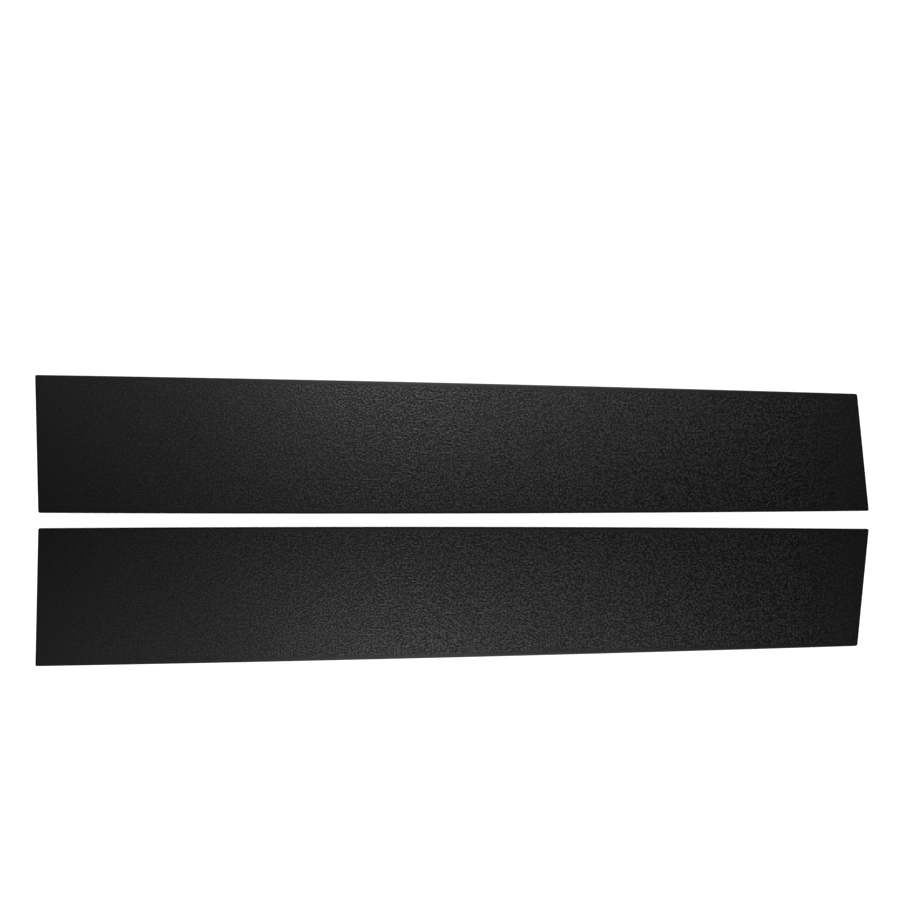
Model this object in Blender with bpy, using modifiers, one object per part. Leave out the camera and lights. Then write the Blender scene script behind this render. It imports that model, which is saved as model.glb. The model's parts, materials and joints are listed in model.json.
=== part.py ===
"""A handed pair of stick-on door-sill kick plates.

Each plate is a moulding in grained black ABS: a flat skin with a rim standing down all round its
underside and two support ribs. Three strips of foam tape lie in the hollow behind the skin, and
each strip still has its release liner, with a tab to pull it by.

The frame: +X runs along the plates, from their wide end to their narrow end. +Y runs across them,
from the right-hand plate to the left-hand one, which mirror each other about Y = 0. +Z points out
of the grained faces. The origin is under the middle of the pair, on the surface they lie on.
"""

import math

import bmesh
import bpy
from mathutils import Vector
from mathutils.geometry import intersect_line_line

MM = 0.001

# The plate's outline, seen from above.
INNER_EDGE_LENGTH = 500.0 * MM
WIDE_END_WIDTH = 83.1 * MM
TAPER = 12.6 * MM
WIDE_END_LEAN = 1.8 * MM
NARROW_END_SLANT = 7.0 * MM
INNER_EDGE_TURN = 0.8 * MM
INNER_EDGE_BOW = 1.0 * MM
OUTER_EDGE_BOW = 0.9 * MM

# The gap between the two plates where it starts, at their wide ends.
PAIR_GAP = 9.2 * MM

# The moulding's section.
SKIN_THICKNESS = 2.0 * MM
RIM_WIDTH = 3.0 * MM
RECESS_CORNER_RADIUS = 1.5 * MM
TOP_EDGE_RADIUS = 0.8 * MM
FOOT_CHAMFER = 0.3 * MM
RIB_WIDTH = 1.2 * MM
RIB_SETBACK = 6.0 * MM
RIB_ROOT = 0.5 * MM

# A corner's radius in plan is larger than the rounded edge that runs round it by this much.
# They run wide inner, narrow inner, narrow outer, wide outer.
CORNER_ALLOWANCES = (0.3 * MM, 0.1 * MM, 0.5 * MM, 0.1 * MM)
CORNER_RADII = [TOP_EDGE_RADIUS + allowance for allowance in CORNER_ALLOWANCES]

# The fixing strips.
TAPE_WIDTH = 12.0 * MM
TAPE_THICKNESS = 1.1 * MM
TAPE_TO_RIM = 3.0 * MM
LINER_THICKNESS = 0.15 * MM
LINER_TAB_LENGTH = 6.0 * MM
LINER_TAB_RADIUS = 3.0 * MM

# Pieces that touch in use stay this far apart, and the tape stands this far below the rim.
SEAT_GAP = 0.3 * MM
TAPE_PROUD = 0.3 * MM

# Heights above the surface that the liners lie on.
TAPE_BOTTOM = LINER_THICKNESS + SEAT_GAP
RIM_BOTTOM = TAPE_BOTTOM + TAPE_PROUD
SKIN_BOTTOM = TAPE_BOTTOM + TAPE_THICKNESS + SEAT_GAP
SKIN_TOP = SKIN_BOTTOM + SKIN_THICKNESS

# How finely the round stretches are drawn.
BOW_STEPS = 12
CORNER_STEPS = 5
TAB_STEPS = 6
EDGE_SEGMENTS = 6

# The cutters stick out this far past the face that they cut.
CUTTER_OVERSHOOT = 1.0 * MM
WELD_DISTANCE = 0.001 * MM

LEFT = 1
RIGHT = -1
HANDS = {"left": LEFT, "right": RIGHT}


def collection(name):
    """A new collection in the scene."""
    made = bpy.data.collections.new(name)
    bpy.context.scene.collection.children.link(made)
    return made


def plastic(name, colour, roughness):
    """A Principled material of one colour, not metallic."""
    made = bpy.data.materials.new(name)
    made.use_nodes = True
    shader = made.node_tree.nodes["Principled BSDF"]
    shader.inputs["Base Color"].default_value = (*colour, 1.0)
    shader.inputs["Roughness"].default_value = roughness
    shader.inputs["Metallic"].default_value = 0.0
    return made


def grained_black_abs():
    """The moulding's black plastic."""
    return plastic("grained_black_abs", (0.011, 0.011, 0.012), 0.5)


def acrylic_foam():
    """The tape's dark grey closed-cell foam."""
    return plastic("acrylic_foam", (0.045, 0.045, 0.05), 0.85)


def release_film():
    """The liner's red film."""
    return plastic("release_film", (0.45, 0.02, 0.02), 0.35)


def cross(edge, other):
    """Where two lines in the plane meet, each given by two points on it."""
    points = [point.to_3d() for point in (*edge, *other)]
    return intersect_line_line(*points)[0].to_2d()


def plate_corners(inset):
    """The left plate's corners, moved in from every edge by inset.

    They run anticlockwise: wide inner, narrow inner, narrow outer, wide outer.
    """
    start = Vector((0.0, PAIR_GAP / 2))
    wide_inner = start
    narrow_inner = start + Vector((INNER_EDGE_LENGTH, INNER_EDGE_TURN))
    narrow_outer = narrow_inner + Vector((-NARROW_END_SLANT, WIDE_END_WIDTH - TAPER))
    wide_outer = start + Vector((-WIDE_END_LEAN, WIDE_END_WIDTH))
    corners = [wide_inner, narrow_inner, narrow_outer, wide_outer]
    edges = []
    for corner, following in zip(corners, corners[1:] + corners[:1]):
        along = (following - corner).normalized()
        inwards = Vector((-along.y, along.x)) * inset
        edges.append((corner + inwards, following + inwards))
    return [cross(edge, before) for edge, before in zip(edges, edges[-1:] + edges[:-1])]


def corner_arc(before, corner, after, radius, steps):
    """Points of the arc that rounds a corner of an anticlockwise outline."""
    back = (before - corner).normalized()
    ahead = (after - corner).normalized()
    opening = back.angle(ahead)
    centre = corner + (back + ahead).normalized() * radius / math.sin(opening / 2)
    spoke = corner + back * radius / math.tan(opening / 2) - centre
    first = math.atan2(spoke.y, spoke.x)
    turn = math.pi - opening
    angles = [first + turn * step / steps for step in range(steps + 1)]
    return [centre + Vector((math.cos(angle), math.sin(angle))) * radius for angle in angles]


def bowed_edge(start, end, bow):
    """Points between two ends of an edge that bulges outwards by bow at its middle."""
    along = (end - start).normalized()
    outwards = Vector((along.y, -along.x))
    shares = [step / BOW_STEPS for step in range(1, BOW_STEPS)]
    return [start.lerp(end, share) + outwards * bow * 4 * share * (1 - share) for share in shares]


def plate_outline(inset, radii):
    """The left plate's outline, moved in by inset, with its corners rounded."""
    corners = plate_corners(inset)
    bows = (INNER_EDGE_BOW, 0.0, OUTER_EDGE_BOW, 0.0)
    arcs = [
        corner_arc(corners[index - 1], corners[index], corners[(index + 1) % 4], radius, CORNER_STEPS)
        for index, radius in enumerate(radii)
    ]
    outline = []
    for arc, following, bow in zip(arcs, arcs[1:] + arcs[:1], bows):
        outline += arc
        if bow:
            outline += bowed_edge(arc[-1], following[0], bow)
    return outline


def pair_middle():
    """Halfway along the pair, measured from where the inner edges start."""
    reach = [point.x for point in plate_outline(0.0, CORNER_RADII)]
    return (min(reach) + max(reach)) / 2


def placed(points, hand):
    """Points of the left plate, moved to the pair's origin and mirrored for the right."""
    middle = pair_middle()
    return [Vector((point.x - middle, point.y * hand)) for point in points]


def slab(name, outline, bottom, top, group):
    """A closed flat solid of this outline between two heights."""
    curve = bpy.data.curves.new(name, "CURVE")
    curve.dimensions = "2D"
    curve.fill_mode = "BOTH"
    curve.extrude = (top - bottom) / 2
    spline = curve.splines.new("POLY")
    spline.points.add(len(outline) - 1)
    for spline_point, point in zip(spline.points, outline):
        spline_point.co = (point.x, point.y, 0.0, 1.0)
    spline.use_cyclic_u = True
    drawn = bpy.data.objects.new(name + "_curve", curve)
    drawn.location.z = (top + bottom) / 2
    group.objects.link(drawn)
    bpy.context.view_layer.update()
    seen = drawn.evaluated_get(bpy.context.evaluated_depsgraph_get())
    solid = bpy.data.objects.new(name, bpy.data.meshes.new_from_object(seen))
    solid.matrix_world = drawn.matrix_world
    group.objects.link(solid)
    bpy.data.objects.remove(drawn)
    weld(solid.data)
    return solid


def weld(mesh):
    """Join a filled curve's loose caps to its walls, and make each cap one face."""
    shape = bmesh.new()
    shape.from_mesh(mesh)
    bmesh.ops.remove_doubles(shape, verts=shape.verts, dist=WELD_DISTANCE)
    flat = [edge for edge in shape.edges if edge.calc_face_angle(math.pi) < WELD_DISTANCE]
    bmesh.ops.dissolve_edges(shape, edges=flat)
    bmesh.ops.recalc_face_normals(shape, faces=shape.faces)
    shape.to_mesh(mesh)
    shape.free()


def box(name, start, end, width, bottom, top, group):
    """A box laid along the line from start to end."""
    bpy.ops.mesh.primitive_cube_add(size=1.0)
    made = bpy.context.object
    made.name = name
    made.data.name = name
    made.scale = ((end - start).length, width, top - bottom)
    bpy.ops.object.transform_apply(location=False, rotation=False, scale=True)
    middle = (start + end) / 2
    made.location = (middle.x, middle.y, (top + bottom) / 2)
    made.rotation_euler.z = math.atan2(end.y - start.y, end.x - start.x)
    for home in list(made.users_collection):
        home.objects.unlink(made)
    group.objects.link(made)
    return made


def hide_cutter(tool):
    """Show a Boolean's tool as wires, and keep it out of renders."""
    tool.hide_render = True
    tool.display_type = "WIRE"


def round_edges(solid):
    """Round the top edge over, and take the sharpness off the foot of the rim.

    The solid's mesh lies half above and half below its own origin.
    """
    shape = bmesh.new()
    shape.from_mesh(solid.data)
    weight = shape.edges.layers.float.new("bevel_weight_edge")
    for edge in shape.edges:
        heights = [vert.co.z for vert in edge.verts]
        if min(heights) > 0:
            edge[weight] = 1.0
        elif max(heights) < 0:
            edge[weight] = FOOT_CHAMFER / TOP_EDGE_RADIUS
    shape.to_mesh(solid.data)
    shape.free()
    solid.data.shade_smooth()
    bevel = solid.modifiers.new("Edge rounding", "BEVEL")
    bevel.limit_method = "WEIGHT"
    bevel.width = TOP_EDGE_RADIUS
    bevel.segments = EDGE_SEGMENTS
    bevel.harden_normals = True


def combine(solid, tool, operation):
    """Cut a solid with a tool, or join the tool to it."""
    boolean = solid.modifiers.new(tool.name, "BOOLEAN")
    boolean.operation = operation
    boolean.object = tool
    boolean.solver = "EXACT"
    hide_cutter(tool)


def strip_lines():
    """The three tape strips' centre lines on the left plate, from wide end to narrow end.

    The inner and outer strips run along their edges, and the middle one halfway between them.
    """
    inset = RIM_WIDTH + TAPE_TO_RIM + TAPE_WIDTH / 2
    wide_inner, narrow_inner, narrow_outer, wide_outer = plate_corners(inset)
    return {
        "inner": (wide_inner, narrow_inner),
        "middle": ((wide_inner + wide_outer) / 2, (narrow_inner + narrow_outer) / 2),
        "outer": (wide_outer, narrow_outer),
    }


def rib_lines():
    """The two support ribs' centre lines, each halfway between neighbouring strips."""
    strips = strip_lines()
    lines = []
    for name in ("inner", "outer"):
        start = (strips[name][0] + strips["middle"][0]) / 2
        end = (strips[name][1] + strips["middle"][1]) / 2
        setback = (end - start).normalized() * RIB_SETBACK
        lines.append((start + setback, end - setback))
    return lines


def plate(hand_name, hand, parts, cutters, material):
    """One moulded plate: skin, rim and support ribs."""
    name = hand_name + "_plate"
    outline = placed(plate_outline(0.0, CORNER_RADII), hand)
    moulding = slab(name, outline, RIM_BOTTOM, SKIN_TOP, parts)
    round_edges(moulding)

    recess_outline = placed(plate_outline(RIM_WIDTH, [RECESS_CORNER_RADIUS] * 4), hand)
    recess_floor = RIM_BOTTOM - CUTTER_OVERSHOOT
    recess = slab(name + "_recess", recess_outline, recess_floor, SKIN_BOTTOM, cutters)
    combine(moulding, recess, "DIFFERENCE")

    for number, line in enumerate(rib_lines(), start=1):
        start, end = placed(line, hand)
        rib_name = f"{name}_rib_{number}"
        rib = box(rib_name, start, end, RIB_WIDTH, RIM_BOTTOM, SKIN_BOTTOM + RIB_ROOT, cutters)
        combine(moulding, rib, "UNION")

    moulding.data.materials.clear()
    moulding.data.materials.append(material)
    return moulding


def tape(name, start, end, parts, material):
    """One strip of double-sided foam tape."""
    top = TAPE_BOTTOM + TAPE_THICKNESS
    strip = box(name, start, end, TAPE_WIDTH, TAPE_BOTTOM, top, parts)
    strip.data.materials.append(material)
    return strip


def liner_outline(length):
    """A liner's outline, its far end at the origin and its round-cornered tab at -X."""
    half = TAPE_WIDTH / 2
    reach = length + LINER_TAB_LENGTH
    far = [Vector((0.0, -half)), Vector((0.0, half))]
    tab = [Vector((-reach, half)), Vector((-reach, -half))]
    arc_over = corner_arc(far[1], tab[0], tab[1], LINER_TAB_RADIUS, TAB_STEPS)
    arc_under = corner_arc(tab[0], tab[1], far[0], LINER_TAB_RADIUS, TAB_STEPS)
    return far + arc_over + arc_under


def liner(name, start, end, parts, material):
    """One strip's release liner, its origin at the strip's far end, where its slide starts."""
    outline = liner_outline((end - start).length)
    strip = slab(name, outline, 0.0, LINER_THICKNESS, parts)
    strip.location.x = end.x
    strip.location.y = end.y
    strip.rotation_euler.z = math.atan2(end.y - start.y, end.x - start.x)
    strip.data.materials.append(material)
    return strip


def build():
    """Model both plates with their tapes and liners."""
    for old in list(bpy.data.objects):
        bpy.data.objects.remove(old)
    parts = collection("kick_plates")
    cutters = collection("cutters")
    abs_plastic = grained_black_abs()
    foam = acrylic_foam()
    film = release_film()
    for hand_name, hand in HANDS.items():
        plate(hand_name, hand, parts, cutters, abs_plastic)
        for strip_name, line in strip_lines().items():
            start, end = placed(line, hand)
            tape(f"{hand_name}_{strip_name}_tape", start, end, parts, foam)
            liner(f"{hand_name}_{strip_name}_liner", start, end, parts, film)


build()
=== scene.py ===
"""The looks of a handed pair of stick-on kick plates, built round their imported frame.

Each plate is a grained black moulding with three strips of foam tape behind it, and a release
liner on each strip. Sizes are in metres. Shapes and places come from the frame.
"""

import json
import math

import bmesh
import bpy
import numpy as np
from mathutils import Matrix, Vector, noise


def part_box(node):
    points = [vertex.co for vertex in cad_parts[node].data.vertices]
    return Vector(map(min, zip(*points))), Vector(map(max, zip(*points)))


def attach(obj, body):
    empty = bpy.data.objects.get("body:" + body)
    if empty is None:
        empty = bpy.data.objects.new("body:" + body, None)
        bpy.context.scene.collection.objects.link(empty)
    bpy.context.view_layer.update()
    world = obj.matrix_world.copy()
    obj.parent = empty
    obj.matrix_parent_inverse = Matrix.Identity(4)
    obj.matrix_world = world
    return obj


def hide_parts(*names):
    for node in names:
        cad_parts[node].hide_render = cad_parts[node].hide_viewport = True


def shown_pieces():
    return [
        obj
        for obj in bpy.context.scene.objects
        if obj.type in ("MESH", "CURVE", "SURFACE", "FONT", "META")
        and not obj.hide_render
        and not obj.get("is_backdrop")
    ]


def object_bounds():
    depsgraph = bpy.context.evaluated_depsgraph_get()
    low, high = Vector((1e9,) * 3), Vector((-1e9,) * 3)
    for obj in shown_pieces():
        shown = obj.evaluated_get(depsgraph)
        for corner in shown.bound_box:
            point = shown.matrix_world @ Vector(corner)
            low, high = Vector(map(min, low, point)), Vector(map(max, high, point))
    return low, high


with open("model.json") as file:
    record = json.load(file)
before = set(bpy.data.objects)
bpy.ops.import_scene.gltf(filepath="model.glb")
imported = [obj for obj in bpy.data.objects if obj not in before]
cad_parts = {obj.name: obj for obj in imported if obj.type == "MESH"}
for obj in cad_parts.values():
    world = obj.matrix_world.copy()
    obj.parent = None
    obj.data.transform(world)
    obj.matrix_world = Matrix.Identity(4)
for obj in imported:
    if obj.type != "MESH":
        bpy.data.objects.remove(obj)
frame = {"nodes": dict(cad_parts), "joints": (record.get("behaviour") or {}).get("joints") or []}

CAD_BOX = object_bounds()

bl_info = {
    "name": "Kick plate pair",
    "version": (1, 0, 0),
    "blender": (4, 5, 0),
    "location": "View3D > Sidebar > Kick plates",
    "description": "Builds the grained plates, their foam tape and liners, and a studio to show them in",
    "category": "Object",
}

MM = 0.001
HANDS = {"left": 1, "right": -1}
STRIPS = ("inner", "middle", "outer")

# Points closer together than this are one point.
WELD_DISTANCE = 0.001 * MM
# An edge that turns by more than this stays crisp.
CREASE_ANGLE = math.radians(30)
# An edge of a tape that turns by more than this is rounded.
SQUARE_ANGLE = math.radians(60)

# A large pebble has fallen away to its valley this far from its middle, in pebble pitches.
VALLEY_DISTANCE = 0.7
# The moulding's tone where the tool was plain, from 0 for a valley's painted shade to 1 for a top's painted
# highlight.
PLAIN_TONE = 0.3
# A small pebble's top gets a painted highlight where it rises past the first of these, and a full one from
# the second.
HIGHLIGHT_PAINT_RISE = (0.41, 0.71)
# The most that a valley adds to the moulding's roughness, and that a high, polished top takes from it.
POLISH = 0.1
# The lowest and highest roughness that slow changes in how the melt flowed give the moulding.
ABS_ROUGHNESS = (0.375, 0.405)
# Nearly all of a noise's values lie between these two.
NOISE_MIDDLE = (0.3, 0.7)
# The painted shade in the middle of a foam cell's pit, and the colour in the film's deep patches, as a
# share of the full one.
CELL_SHADE = 0.6
PATCH_SHADE = 0.7

# From one bend of a tape's slit edge to the next.
WAVER_PITCH = 30 * MM
# How far off its middle the noise is read for a tape's two edges, so that each strays in its own way.
EDGE_STEP = 5.0
# How far apart the noise is read for two tapes, or two liners, a metre apart, so that no two are alike.
TAPE_STEP = 90
LINER_STEP = 50

# The floor lies this far under the liners, so that the two don't touch, and reaches this far each way.
FLOOR_GAP = 0.02 * MM
FLOOR_REACH = 30.0
# The lamp over the floor is this high, and its light comes from a round patch that looks this wide.
SUN_HEIGHT = 2.0
SUN_SPREAD = math.radians(30)
# How bright the room is at its horizon, overhead and below.
HORIZON_GLOW = 0.3
OVERHEAD_GLOW = 0.01
BELOW_GLOW = 0.02
# How far up, from 0 at the horizon to 1 overhead, the horizon's light has faded away.
HORIZON_HEIGHT = 0.3
# How far from the pair's middle line the lamps over a plate are aimed.
LAMP_AIM = 0.05
# Each lamp's name, its powers over the left and the right plate in watts, its place over the left plate,
# and its length and width. Over the right plate its place is mirrored.
PLATE_LAMPS = (
    ("main", (0.152, 0.117), (-0.04, 0.15, 0.32), (0.14, 0.1)),
    ("narrow_end", (0.048, 0.047), (0.12, 0.15, 0.32), (0.12, 0.1)),
    ("wide_end", (0.022, 0.022), (-0.24, 0.15, 0.32), (0.14, 0.1)),
    ("inner", (0.004, 0.006), (-0.12, 0.03, 0.32), (0.14, 0.1)),
    ("edge", (0.6, 0.6), (0.06, 0.45, 0.25), (0.26, 0.05)),
)


def linear(hex_colour):
    """A colour given as sRGB hex, in the linear values that shaders and lamps take."""
    shares = [int(hex_colour[at:at + 2], 16) / 255 for at in (1, 3, 5)]
    return tuple(
        share / 12.92 if share <= 0.04045 else ((share + 0.055) / 1.055) ** 2.4
        for share in shares)


class GrainSettings(bpy.types.PropertyGroup):
    """The moulded grain on the plates' faces."""

    pebble_pitch: bpy.props.FloatProperty(
        name="Pebble pitch", description="From the middle of one large pebble to the next",
        default=2.2 * MM, unit="LENGTH", precision=5)
    pebble_depth: bpy.props.FloatProperty(
        name="Pebble depth", description="From the top of a large pebble to the bottom of a valley",
        default=0.035 * MM, unit="LENGTH", precision=6)
    speck_pitch: bpy.props.FloatProperty(
        name="Speck pitch", description="From one small, uneven pebble to the next",
        default=1.0 * MM, unit="LENGTH", precision=5)
    speck_depth: bpy.props.FloatProperty(
        name="Speck depth", description="From the deepest valley to the top of the tallest small pebble",
        default=0.18 * MM, unit="LENGTH", precision=6)
    mesh_spacing: bpy.props.FloatProperty(
        name="Mesh spacing", description="How far apart the grained face's points are",
        default=0.64 * MM, unit="LENGTH", precision=5)
    smooth_border: bpy.props.FloatProperty(
        name="Smooth border", description="How far inside the rounded edge the grain starts",
        default=0.5 * MM, unit="LENGTH", precision=5)
    edge_fade: bpy.props.FloatProperty(
        name="Edge fade", description="How far from the smooth border the grain reaches its full depth",
        default=2.0 * MM, unit="LENGTH", precision=5)
    wide_end_fade: bpy.props.FloatProperty(
        name="Wide end fade", description="How far from the wide end the grain reaches its full depth",
        default=230.0 * MM, unit="LENGTH")
    narrow_end_fade: bpy.props.FloatProperty(
        name="Narrow end fade", description="How far from the narrow end the grain reaches its full depth",
        default=45.0 * MM, unit="LENGTH")
    end_share: bpy.props.FloatProperty(
        name="End share", description="The share of the grain's depth that is left at the plate's ends",
        default=0.15, min=0.0, max=1.0, subtype="FACTOR")


class FinishSettings(bpy.types.PropertyGroup):
    """The colours of the mouldings, the tape and the liners."""

    # Painted shade: the colour laid in the valleys between the pebbles.
    abs_valley_painted_shade: bpy.props.FloatVectorProperty(
        name="ABS valleys", description="The moulding's colour between its pebbles", subtype="COLOR",
        default=linear("#050505"))
    # Painted highlight: the grey laid on the higher pebble tops as glints.
    abs_top_painted_highlight: bpy.props.FloatVectorProperty(
        name="ABS tops", description="The colour of the pebbles' rubbed tops", subtype="COLOR",
        default=linear("#5f5f61"))
    foam_grey: bpy.props.FloatVectorProperty(
        name="Foam grey", description="The acrylic foam's colour", subtype="COLOR",
        default=linear("#3a3b3d"))
    film_red: bpy.props.FloatVectorProperty(
        name="Film red", description="The release film's colour", subtype="COLOR",
        default=linear("#b3261e"))


class StripSettings(bpy.types.PropertyGroup):
    """The tape strips and their liners."""

    tape_step: bpy.props.FloatProperty(
        name="Tape step", description="The length of one segment of a tape strip",
        default=4.0 * MM, unit="LENGTH", precision=4)
    tape_waver: bpy.props.FloatProperty(
        name="Tape waver", description="How far a slit edge strays from a straight line",
        default=0.12 * MM, unit="LENGTH", precision=5)
    tape_edge: bpy.props.FloatProperty(
        name="Tape edge", description="The radius that the foam's slit edges take",
        default=0.12 * MM, unit="LENGTH", precision=5)
    liner_spacing: bpy.props.FloatProperty(
        name="Liner spacing", description="How far apart the film's points are",
        default=1.5 * MM, unit="LENGTH", precision=4)
    liner_ripple: bpy.props.FloatProperty(
        name="Liner ripple", description="How high the film's ripples stand",
        default=0.08 * MM, unit="LENGTH", precision=5)
    ripple_pitch: bpy.props.FloatProperty(
        name="Ripple pitch", description="From one ripple of the film to the next",
        default=14.0 * MM, unit="LENGTH", precision=4)


class StudioSettings(bpy.types.PropertyGroup):
    """The camera, the floor and the lamps."""

    frame_width: bpy.props.FloatProperty(
        name="Frame width", description="The width of floor that the camera takes in",
        default=541.7 * MM, unit="LENGTH")
    frame_centre: bpy.props.FloatVectorProperty(
        name="Frame centre", description="The point that the camera stands over", size=2,
        default=(-1.15 * MM, 42.28 * MM), unit="LENGTH")
    roll: bpy.props.FloatProperty(
        name="Roll", description="How far the camera is turned about its line of sight",
        default=math.radians(-0.046), unit="ROTATION")
    lens: bpy.props.FloatProperty(
        name="Lens", description="The camera's focal length", default=100.0, unit="CAMERA")
    floor_white: bpy.props.FloatVectorProperty(
        name="Floor white", description="The floor's colour", subtype="COLOR",
        default=linear("#f4f4f2"))
    floor_sun: bpy.props.FloatProperty(
        name="Floor lamp", description="The strength of the lamp over the floor and the liners",
        default=3.0, min=0.0)
    floor_glow: bpy.props.FloatProperty(
        name="Floor glow", description="How brightly the floor is lit from behind",
        default=0.42, min=0.0)


def top_outline(node):
    """A flat-topped node's highest face, as a loop of points seen from above, anticlockwise."""
    shape = joined_mesh(node)
    cap = dissolve_cap(shape)
    outline = [vert.co.to_2d() for vert in cap.verts]
    shape.free()
    return outline


def joined_mesh(node):
    """A copy of a node's mesh with its loose triangles joined up."""
    shape = bmesh.new()
    shape.from_mesh(node.data)
    bmesh.ops.remove_doubles(shape, verts=shape.verts, dist=WELD_DISTANCE)
    return shape


def dissolve_cap(shape):
    """Make the highest flat face of a shape one face."""
    top = max(vert.co.z for vert in shape.verts)
    faces = [face for face in shape.faces if all(top - vert.co.z < WELD_DISTANCE for vert in face.verts)]
    return bmesh.ops.dissolve_faces(shape, faces=faces, use_verts=False)["region"][0]


def outline_sides(outline, inset):
    """Each side of a convex anticlockwise outline as a point and an outward direction."""
    sides = []
    for start, end in zip(outline, outline[1:] + outline[:1]):
        along = (end - start).normalized()
        outwards = Vector((along.y, -along.x))
        sides.append((start - outwards * inset, outwards))
    return sides


def trimmed_grid(shape, outline, inset, spacing, height, turn=0.0):
    """Lay an even grid of faces over a convex outline, and trim it along a line inset from it."""
    back = Matrix.Rotation(-turn, 2)
    spread = [back @ point for point in outline]
    low = Vector((min(point.x for point in spread), min(point.y for point in spread)))
    high = Vector((max(point.x for point in spread), max(point.y for point in spread)))
    size = high - low
    centre = Matrix.Rotation(turn, 2) @ ((low + high) / 2)
    place = (
        Matrix.Translation((centre.x, centre.y, height))
        @ Matrix.Rotation(turn, 4, "Z")
        @ Matrix.Diagonal((size.x, size.y, 1.0, 1.0))
    )
    columns = math.ceil(size.x / spacing)
    rows = math.ceil(size.y / spacing)
    grid = bmesh.ops.create_grid(shape, x_segments=columns, y_segments=rows, size=0.5, matrix=place)
    # A dict keeps the parts in order, so that every run makes the same mesh. A set wouldn't.
    around = (part for vert in grid["verts"] for part in (vert, *vert.link_edges, *vert.link_faces))
    geometry = list(dict.fromkeys(around))
    for point, outwards in outline_sides(outline, inset):
        cut = bmesh.ops.bisect_plane(
            shape, geom=geometry, dist=WELD_DISTANCE, plane_co=(point.x, point.y, height),
            plane_no=(outwards.x, outwards.y, 0.0), clear_outer=True)
        geometry = [part for part in cut["geom"] if part.is_valid]
    return geometry


def depth_inside(points, outline, inset):
    """How far each point lies inside a convex outline's inset line, as an array."""
    sides = outline_sides(outline, inset)
    starts = np.array([point for point, _ in sides])
    outwards = np.array([direction for _, direction in sides])
    return np.min([(starts[k] - points) @ outwards[k] for k in range(len(sides))], axis=0)


def pebble_fall(x, y, pitch):
    """How far the moulded grain falls away at a place, from 0 on a pebble's top to 1 in a valley."""
    distance = noise.voronoi(Vector((x, y, 0.0)) / pitch)[0][0]
    return min(1.0, distance / VALLEY_DISTANCE) ** 2


def grain_share(place, depth, ends, grain):
    """The share of its full depth that the grain has at a place this deep inside the grained face."""
    to_edge = min(1.0, max(0.0, depth / grain.edge_fade))
    fades = ((place.x - ends[0]) / grain.wide_end_fade, (ends[1] - place.x) / grain.narrow_end_fade)
    to_end = min(1.0, *fades)
    return to_edge * (grain.end_share + (1.0 - grain.end_share) * to_end)


def new_piece(name, shape, material, body, slot, *nodes):
    """Turn a finished shape into a piece that rides on a body and replaces its nodes."""
    mesh = bpy.data.meshes.new(name)
    shape.to_mesh(mesh)
    shape.free()
    mesh.shade_smooth()
    mesh.materials.append(material)
    piece = bpy.data.objects.new(name, mesh)
    bpy.context.scene.collection.objects.link(piece)
    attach(piece, body)
    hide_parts(*nodes)


def grained_moulding(hand, grain, material):
    """One plate: the frame's plate with its flat top remade as a fine grained face."""
    node = frame["nodes"][f"{hand}_plate"]
    outline = top_outline(node)
    shape = joined_mesh(node)
    share = shape.verts.layers.float.new("grain")
    cap = dissolve_cap(shape)
    rim = list(cap.edges)
    height = cap.verts[0].co.z
    bmesh.ops.delete(shape, geom=[cap], context="FACES_ONLY")

    face = trimmed_grid(shape, outline, grain.smooth_border, grain.mesh_spacing, height)
    border = [part for part in face if isinstance(part, bmesh.types.BMEdge) and part.is_boundary]
    bmesh.ops.triangle_fill(shape, use_beauty=True, edges=rim + border, normal=(0.0, 0.0, 1.0))

    verts = [part for part in face if isinstance(part, bmesh.types.BMVert)]
    places = [vert.co.to_2d() for vert in verts]
    depths = depth_inside(np.array(places), outline, grain.smooth_border)
    ends = (min(place.x for place in places), max(place.x for place in places))
    for vert, place, depth in zip(verts, places, depths):
        vert[share] = grain_share(place, depth, ends, grain)
        fall = pebble_fall(place.x, abs(place.y), grain.pebble_pitch)
        vert.co.z = height - fall * grain.pebble_depth * vert[share]
    bmesh.ops.recalc_face_normals(shape, faces=shape.faces)
    mark_sharp(shape)
    new_piece(f"{hand}_plate_moulding", shape, material, f"{hand}_plate", "grained_abs", node.name)


def mark_sharp(shape):
    """Keep every real corner crisp under smooth shading."""
    for edge in shape.edges:
        edge.smooth = edge.calc_face_angle(0.0) < CREASE_ANGLE


def strip_axes(node, joint):
    """A strip's direction away from its wide end, its middle, and its length, width and thickness."""
    pull = next(item for item in frame["joints"] if item["name"] == joint)
    along = -Vector(pull["axis"]).normalized()
    across = Vector((-along.y, along.x, 0.0))
    points = [vert.co for vert in node.data.vertices]
    spans = []
    for direction in (along, across, Vector((0.0, 0.0, 1.0))):
        reach = [point.dot(direction) for point in points]
        spans.append((min(reach), max(reach)))
    middle = along * sum(spans[0]) / 2 + across * sum(spans[1]) / 2
    middle.z = sum(spans[2]) / 2
    size = Vector([high - low for low, high in spans])
    return along, middle, size


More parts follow.
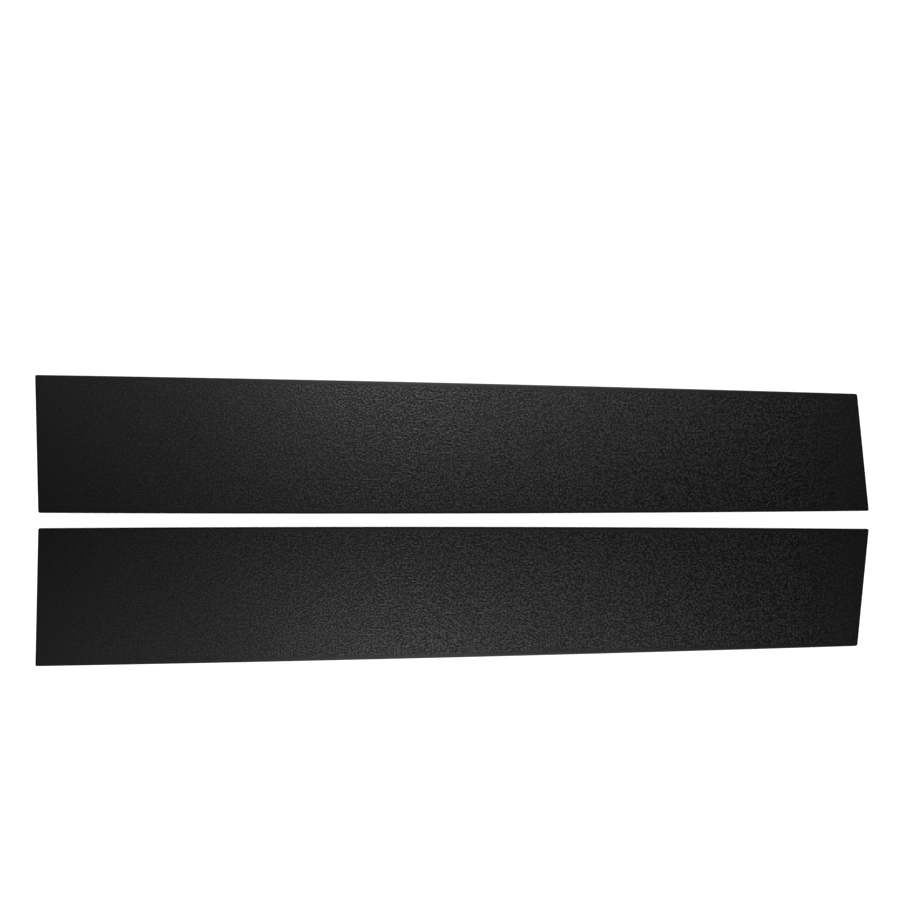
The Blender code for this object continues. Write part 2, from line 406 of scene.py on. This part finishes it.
def foam_strip(hand, strip, settings, material):
    """One strip of foam tape, slit by hand-guided blades, so its edges stray a little."""
    node = frame["nodes"][f"{hand}_{strip}_tape"]
    along, middle, size = strip_axes(node, f"{hand}_{strip}_liner_pull")
    shape = bmesh.new()
    bmesh.ops.create_cube(shape, size=1.0)
    bmesh.ops.scale(shape, vec=size - Vector((0.0, settings.tape_waver * 2, 0.0)), verts=shape.verts)
    lengthwise = [edge for edge in shape.edges if abs(edge.verts[0].co.x - edge.verts[1].co.x) > size.x / 2]
    cuts = round(size.x / settings.tape_step)
    bmesh.ops.subdivide_edges(shape, edges=lengthwise, cuts=cuts, use_grid_fill=True)
    for vert in shape.verts:
        side = math.copysign(1.0, vert.co.y)
        spot = Vector((vert.co.x / WAVER_PITCH, side * EDGE_STEP, HANDS[hand] + middle.y * TAPE_STEP))
        stray = noise.noise(spot)
        vert.co.y += side * stray * settings.tape_waver
    corners = [edge for edge in shape.edges if edge.calc_face_angle(0.0) > SQUARE_ANGLE]
    bmesh.ops.bevel(
        shape, geom=corners, offset=settings.tape_edge, offset_type="OFFSET", segments=2,
        profile=0.5, affect="EDGES", material=-1)
    turn = Matrix.Rotation(math.atan2(along.y, along.x), 4, "Z")
    bmesh.ops.transform(shape, matrix=Matrix.Translation(middle) @ turn, verts=shape.verts)
    bmesh.ops.recalc_face_normals(shape, faces=shape.faces)
    mark_sharp(shape)
    new_piece(f"{hand}_{strip}_foam_strip", shape, material, f"{hand}_plate", "foam_tape", node.name)


def liner_film(hand, strip, settings, material):
    """One release liner: thin film with faint ripples from the reel and a round-cornered tab."""
    node = frame["nodes"][f"{hand}_{strip}_liner"]
    along, middle, _ = strip_axes(node, f"{hand}_{strip}_liner_pull")
    low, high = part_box(node.name)
    turn = math.atan2(along.y, along.x)
    shape = bmesh.new()
    film = trimmed_grid(shape, top_outline(node), 0.0, settings.liner_spacing, low.z, turn)
    for part in film:
        if isinstance(part, bmesh.types.BMVert):
            reach = (part.co - middle).dot(along)
            spot = Vector((reach / settings.ripple_pitch, middle.y * LINER_STEP, HANDS[hand]))
            wave = noise.noise(spot)
            part.co.z += settings.liner_ripple * max(0.0, wave)
    faces = [part for part in film if isinstance(part, bmesh.types.BMFace)]
    bmesh.ops.recalc_face_normals(shape, faces=faces)
    bmesh.ops.solidify(shape, geom=faces, thickness=high.z - low.z)
    bmesh.ops.recalc_face_normals(shape, faces=shape.faces)
    mark_sharp(shape)
    new_piece(f"{hand}_{strip}_liner_film", shape, material, node.name, "release_liner", node.name)


def add(tree, kind, result, inputs=None, **settings):
    """Add a node with its settings, its input values and its links, and give the output named result."""
    node = tree.nodes.new(kind)
    for name, value in settings.items():
        setattr(node, name, value)
    for name, value in (inputs or {}).items():
        named = [each for each in node.inputs if each.name == name and each.enabled]
        socket = named[0] if named else node.inputs[name]
        if isinstance(value, bpy.types.NodeSocket):
            tree.links.new(value, socket)
        else:
            socket.default_value = value
    return next((each for each in node.outputs if each.name == result and each.enabled), None)


def blank_material(name):
    """A material with an empty node tree."""
    made = bpy.data.materials.new(name)
    made.use_nodes = True
    made.node_tree.nodes.clear()
    return made


def grained_abs(finish, grain):
    """Injection-moulded black ABS with a pebble grain from the tool: a deep black with grey highlights
    painted on the higher pebble tops as fine specks, painted shade in the valleys, and a satin sheen where
    the tool was plain."""
    made = blank_material("moulded_black_abs")
    tree = made.node_tree
    place = add(tree, "ShaderNodeTexCoord", "Object")
    share = add(tree, "ShaderNodeAttribute", "Fac", attribute_name="grain")

    # The small pebbles, uneven in size and height. The higher they stand, the greyer the highlight painted
    # on their tops.
    rise = add(tree, "ShaderNodeTexNoise", "Fac", {
        "Vector": place, "Scale": 1 / grain.speck_pitch, "Detail": 0.0})
    painted_highlight = add(tree, "ShaderNodeMapRange", "Result", {
        "Value": rise, "From Min": HIGHLIGHT_PAINT_RISE[0], "From Max": HIGHLIGHT_PAINT_RISE[1]})
    # The etched skin of the tool. The real one is about 0.1 mm, drawn at 0.45 mm so that it shows.
    skin = add(tree, "ShaderNodeTexNoise", "Fac", {
        "Vector": place, "Scale": 1 / (0.45 * MM), "Detail": 2.0, "Roughness": 0.6})
    # Slow changes in how the melt filled the tool, over about 60 mm.
    flow = add(tree, "ShaderNodeTexNoise", "Fac", {
        "Vector": place, "Scale": 1 / (60 * MM), "Detail": 1.0})

    # The base colour carries painted light. The higher pebble tops get a grey painted highlight and the
    # valleys get painted shade. Where the grain fades, both even out to the plain tone.
    between = add(tree, "ShaderNodeMix", "Result", {"Factor": share, "A": PLAIN_TONE, "B": painted_highlight})
    tone = add(tree, "ShaderNodeMix", "Result", {
        "Factor": between, "A": (*finish.abs_valley_painted_shade, 1.0), "B": (*finish.abs_top_painted_highlight, 1.0)}, data_type="RGBA")
    sheen = add(tree, "ShaderNodeMapRange", "Result", {
        "Value": flow, "From Min": NOISE_MIDDLE[0], "From Max": NOISE_MIDDLE[1],
        "To Min": ABS_ROUGHNESS[0], "To Max": ABS_ROUGHNESS[1]})
    # Rubbed tops are a little smoother than the valleys.
    polish = add(tree, "ShaderNodeMapRange", "Result", {
        "Value": rise, "From Min": NOISE_MIDDLE[0], "From Max": NOISE_MIDDLE[1],
        "To Min": POLISH, "To Max": -POLISH})
    roughness = add(tree, "ShaderNodeMath", "Value", {
        0: polish, 1: share, 2: sheen}, operation="MULTIPLY_ADD")
    coarse = add(tree, "ShaderNodeBump", "Normal", {
        "Strength": share, "Distance": grain.speck_depth, "Height": rise})
    fine = add(tree, "ShaderNodeBump", "Normal", {
        "Strength": 0.5, "Distance": 0.012 * MM, "Height": skin, "Normal": coarse})
    shader = add(tree, "ShaderNodeBsdfPrincipled", "BSDF", {
        "Base Color": tone, "Roughness": roughness, "Metallic": 0.0, "IOR": 1.54, "Normal": fine})
    add(tree, "ShaderNodeOutputMaterial", None, {"Surface": shader})
    return made


def acrylic_foam(finish):
    """Closed-cell acrylic foam with adhesive on both faces: dark grey, soft, finely pitted."""
    made = blank_material("acrylic_foam_tape")
    tree = made.node_tree
    place = add(tree, "ShaderNodeTexCoord", "Object")
    # Cells about 0.1 mm across, drawn at 0.3 mm so that they show.
    cells = add(tree, "ShaderNodeTexVoronoi", "Distance", {"Vector": place, "Scale": 1 / (0.3 * MM)})
    # The middles of the cells, which are the bottoms of the pits, are painted darker as shade.
    pit_painted_shade = tuple(channel * CELL_SHADE for channel in finish.foam_grey)
    tone = add(tree, "ShaderNodeMix", "Result", {
        "Factor": cells, "A": (*pit_painted_shade, 1.0), "B": (*finish.foam_grey, 1.0)}, data_type="RGBA")
    pits = add(tree, "ShaderNodeBump", "Normal", {
        "Strength": 0.6, "Distance": 0.05 * MM, "Height": cells})
    tack = add(tree, "ShaderNodeMapRange", "Result", {"Value": cells, "To Min": 0.45, "To Max": 0.75})
    shader = add(tree, "ShaderNodeBsdfPrincipled", "BSDF", {
        "Base Color": tone, "Roughness": tack, "IOR": 1.49, "Normal": pits})
    add(tree, "ShaderNodeOutputMaterial", None, {"Surface": shader})
    return made


def release_film(finish):
    """Extruded polyethylene release film: red, smooth and a little glossy, with faint reel lines."""
    made = blank_material("polyethylene_release_film")
    tree = made.node_tree
    place = add(tree, "ShaderNodeTexCoord", "Object")
    # Lines along the film, about 83 mm long and 0.8 mm apart.
    stretched = add(tree, "ShaderNodeMapping", "Vector", {
        "Vector": place, "Scale": (12.0, 1 / (0.8 * MM), 1.0)})
    lines = add(tree, "ShaderNodeTexNoise", "Fac", {"Vector": stretched, "Scale": 1.0, "Detail": 3.0})
    # Cloudy patches about 9 mm across, where the film is thinner or thicker.
    clouds = add(tree, "ShaderNodeTexNoise", "Fac", {"Vector": place, "Scale": 1 / (9 * MM)})
    deep = tuple(channel * PATCH_SHADE for channel in finish.film_red)
    tone = add(tree, "ShaderNodeMix", "Result", {
        "Factor": clouds, "A": (*deep, 1.0), "B": (*finish.film_red, 1.0)}, data_type="RGBA")
    gloss = add(tree, "ShaderNodeMapRange", "Result", {"Value": lines, "To Min": 0.22, "To Max": 0.38})
    drawn = add(tree, "ShaderNodeBump", "Normal", {
        "Strength": 0.4, "Distance": 0.01 * MM, "Height": lines})
    shader = add(tree, "ShaderNodeBsdfPrincipled", "BSDF", {
        "Base Color": tone, "Roughness": gloss, "IOR": 1.51, "Normal": drawn})
    add(tree, "ShaderNodeOutputMaterial", None, {"Surface": shader})
    return made


def studio_white(colour, glow):
    """Matt painted board: near white, with a faint roller stipple about 3 mm across. It's lit from
    behind a little, so that shadows on it stay pale."""
    made = blank_material("matt_white_board")
    tree = made.node_tree
    place = add(tree, "ShaderNodeTexCoord", "Object")
    stipple = add(tree, "ShaderNodeTexNoise", "Fac", {"Vector": place, "Scale": 1 / (3 * MM)})
    bump = add(tree, "ShaderNodeBump", "Normal", {
        "Strength": 0.1, "Distance": 0.05 * MM, "Height": stipple})
    shader = add(tree, "ShaderNodeBsdfPrincipled", "BSDF", {
        "Base Color": (*colour, 1.0), "Roughness": 0.9, "Normal": bump,
        "Emission Color": (*colour, 1.0), "Emission Strength": glow})
    add(tree, "ShaderNodeOutputMaterial", None, {"Surface": shader})
    return made


def make_floor(studio):
    """The pale floor that the liners lie on. The plates don't mirror it, so they stay black."""
    shape = bmesh.new()
    bmesh.ops.create_grid(shape, x_segments=1, y_segments=1, size=FLOOR_REACH)
    bmesh.ops.translate(shape, vec=(0.0, 0.0, CAD_BOX[0].z - FLOOR_GAP), verts=shape.verts)
    mesh = bpy.data.meshes.new("floor")
    shape.to_mesh(mesh)
    shape.free()
    mesh.materials.append(studio_white(studio.floor_white, studio.floor_glow))
    floor = bpy.data.objects.new("floor", mesh)
    bpy.context.scene.collection.objects.link(floor)
    floor.visible_glossy = False
    floor.visible_diffuse = False
    floor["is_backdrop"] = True
    return floor


def make_camera(studio):
    """A camera straight above the pair, as far off as makes the plates' outline the right size."""
    data = bpy.data.cameras.new("camera")
    data.lens = studio.lens
    camera = bpy.data.objects.new("camera", data)
    bpy.context.scene.collection.objects.link(camera)
    distance = studio.frame_width * data.lens / data.sensor_width
    camera.location = (*studio.frame_centre, widest_height() + distance)
    camera.rotation_euler = (0.0, 0.0, studio.roll)
    bpy.context.scene.camera = camera


def widest_height():
    """The height where a plate's wall ends and its rounded edge starts."""
    points = [vert.co for vert in frame["nodes"]["left_plate"].data.vertices]
    reach = max(point.y for point in points)
    return max(point.z for point in points if reach - point.y < WELD_DISTANCE)


def make_lamp(name, kind, power, place, aim, receivers, **settings):
    """A lamp that lights only what is in one collection, and isn't seen itself."""
    data = bpy.data.lights.new(name, kind)
    data.energy = power
    for setting, value in settings.items():
        setattr(data, setting, value)
    lamp = bpy.data.objects.new(name, data)
    bpy.context.scene.collection.objects.link(lamp)
    lamp.location = place
    lamp.rotation_euler = (Vector(aim) - Vector(place)).to_track_quat("-Z", "Y").to_euler()
    lamp.visible_camera = False
    lamp.light_linking.receiver_collection = receivers


def lit_group(name, objects):
    """A collection of what one set of lamps lights."""
    group = bpy.data.collections.new(name)
    for item in objects:
        group.objects.link(item)
    return group


def plate_lamps(hand, group):
    """The soft lamps over one plate, and one far out to its side that picks out its outer edge."""
    for name, powers, (x, y, z), (length, width) in PLATE_LAMPS:
        power = dict(zip(HANDS, powers))[hand]
        place = (x, HANDS[hand] * y, z)
        aim = (x, HANDS[hand] * LAMP_AIM, 0.0)
        make_lamp(
            f"{hand}_{name}_lamp", "AREA", power, place, aim, group,
            shape="RECTANGLE", size=length, size_y=width)


def make_world():
    """A white surround for the camera, and for everything else a dim room, lightest at its horizon."""
    world = bpy.data.worlds.new("studio")
    world.use_nodes = True
    tree = world.node_tree
    tree.nodes.clear()
    direction = add(tree, "ShaderNodeTexCoord", "Generated")
    height = add(tree, "ShaderNodeSeparateXYZ", "Z", {"Vector": direction})
    room = add(tree, "ShaderNodeMapRange", "Result", {
        "Value": height, "From Max": HORIZON_HEIGHT, "To Min": HORIZON_GLOW, "To Max": OVERHEAD_GLOW})
    above = add(tree, "ShaderNodeMath", "Value", {0: height, 1: 0.0}, operation="GREATER_THAN")
    dim = add(tree, "ShaderNodeMix", "Result", {"Factor": above, "A": BELOW_GLOW, "B": room})
    seen = add(tree, "ShaderNodeLightPath", "Is Camera Ray")
    glow = add(tree, "ShaderNodeMix", "Result", {"Factor": seen, "A": dim, "B": 1.0})
    white = add(tree, "ShaderNodeBackground", "Background", {
        "Color": (1.0, 1.0, 1.0, 1.0), "Strength": glow})
    add(tree, "ShaderNodeOutputWorld", None, {"Surface": white})
    bpy.context.scene.world = world


class KICK_PLATE_OT_mouldings(bpy.types.Operator):
    """Build the two grained plates"""

    bl_idname = "kick_plate.mouldings"
    bl_label = "Build the plates"

    def execute(self, context):
        material = grained_abs(context.scene.kick_finish, context.scene.kick_grain)
        for hand in HANDS:
            grained_moulding(hand, context.scene.kick_grain, material)
        return {"FINISHED"}


class KICK_PLATE_OT_tapes(bpy.types.Operator):
    """Build the foam tape strips"""

    bl_idname = "kick_plate.tapes"
    bl_label = "Build the tape strips"

    def execute(self, context):
        material = acrylic_foam(context.scene.kick_finish)
        for hand in HANDS:
            for strip in STRIPS:
                foam_strip(hand, strip, context.scene.kick_strips, material)
        return {"FINISHED"}


class KICK_PLATE_OT_liners(bpy.types.Operator):
    """Build the release liners"""

    bl_idname = "kick_plate.liners"
    bl_label = "Build the liners"

    def execute(self, context):
        material = release_film(context.scene.kick_finish)
        for hand in HANDS:
            for strip in STRIPS:
                liner_film(hand, strip, context.scene.kick_strips, material)
        return {"FINISHED"}


class KICK_PLATE_OT_studio(bpy.types.Operator):
    """Build the floor, the lamps and the camera"""

    bl_idname = "kick_plate.studio"
    bl_label = "Build the studio"

    def execute(self, context):
        studio = context.scene.kick_studio
        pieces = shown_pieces()
        floor = make_floor(studio)
        liners = [piece for piece in pieces if piece.name.endswith("_liner_film")]
        under_sun = lit_group("lit_floor", [floor, *liners])
        make_lamp(
            "floor_lamp", "SUN", studio.floor_sun, (0.0, 0.0, SUN_HEIGHT), (0.0, 0.0, 0.0), under_sun,
            angle=SUN_SPREAD)
        for hand in HANDS:
            mine = [piece for piece in pieces if piece.name.startswith(hand)]
            plate_lamps(hand, lit_group(f"lit_{hand}", mine))
        make_world()
        make_camera(studio)
        context.scene.view_settings.view_transform = "Standard"
        return {"FINISHED"}


class KICK_PLATE_PT_panel(bpy.types.Panel):
    """The kick plates' sizes, colours and build steps"""

    bl_idname = "KICK_PLATE_PT_panel"
    bl_label = "Kick plates"
    bl_space_type = "VIEW_3D"
    bl_region_type = "UI"
    bl_category = "Kick plates"

    def draw(self, context):
        for group, build in BUILD_STEPS:
            box = self.layout.box()
            settings = getattr(context.scene, group)
            for name in settings.__annotations__:
                box.prop(settings, name)
            for step in build:
                box.operator(step)


BUILD_STEPS = (
    ("kick_grain", ("kick_plate.mouldings",)),
    ("kick_strips", ("kick_plate.tapes", "kick_plate.liners")),
    ("kick_finish", ()),
    ("kick_studio", ("kick_plate.studio",)),
)
SETTINGS = {
    "kick_grain": GrainSettings,
    "kick_strips": StripSettings,
    "kick_finish": FinishSettings,
    "kick_studio": StudioSettings,
}
CLASSES = (
    *SETTINGS.values(),
    KICK_PLATE_OT_mouldings,
    KICK_PLATE_OT_tapes,
    KICK_PLATE_OT_liners,
    KICK_PLATE_OT_studio,
    KICK_PLATE_PT_panel,
)


def register():
    """Make the classes known to Blender."""
    for made in CLASSES:
        bpy.utils.register_class(made)
    for name, settings in SETTINGS.items():
        setattr(bpy.types.Scene, name, bpy.props.PointerProperty(type=settings))


def unregister():
    """Take the classes away again."""
    for name in SETTINGS:
        delattr(bpy.types.Scene, name)
    for made in reversed(CLASSES):
        bpy.utils.unregister_class(made)


def main():
    """Build everything."""
    register()
    bpy.ops.kick_plate.mouldings()
    bpy.ops.kick_plate.tapes()
    bpy.ops.kick_plate.liners()
    bpy.ops.kick_plate.studio()


if __name__ == "__main__":
    main()
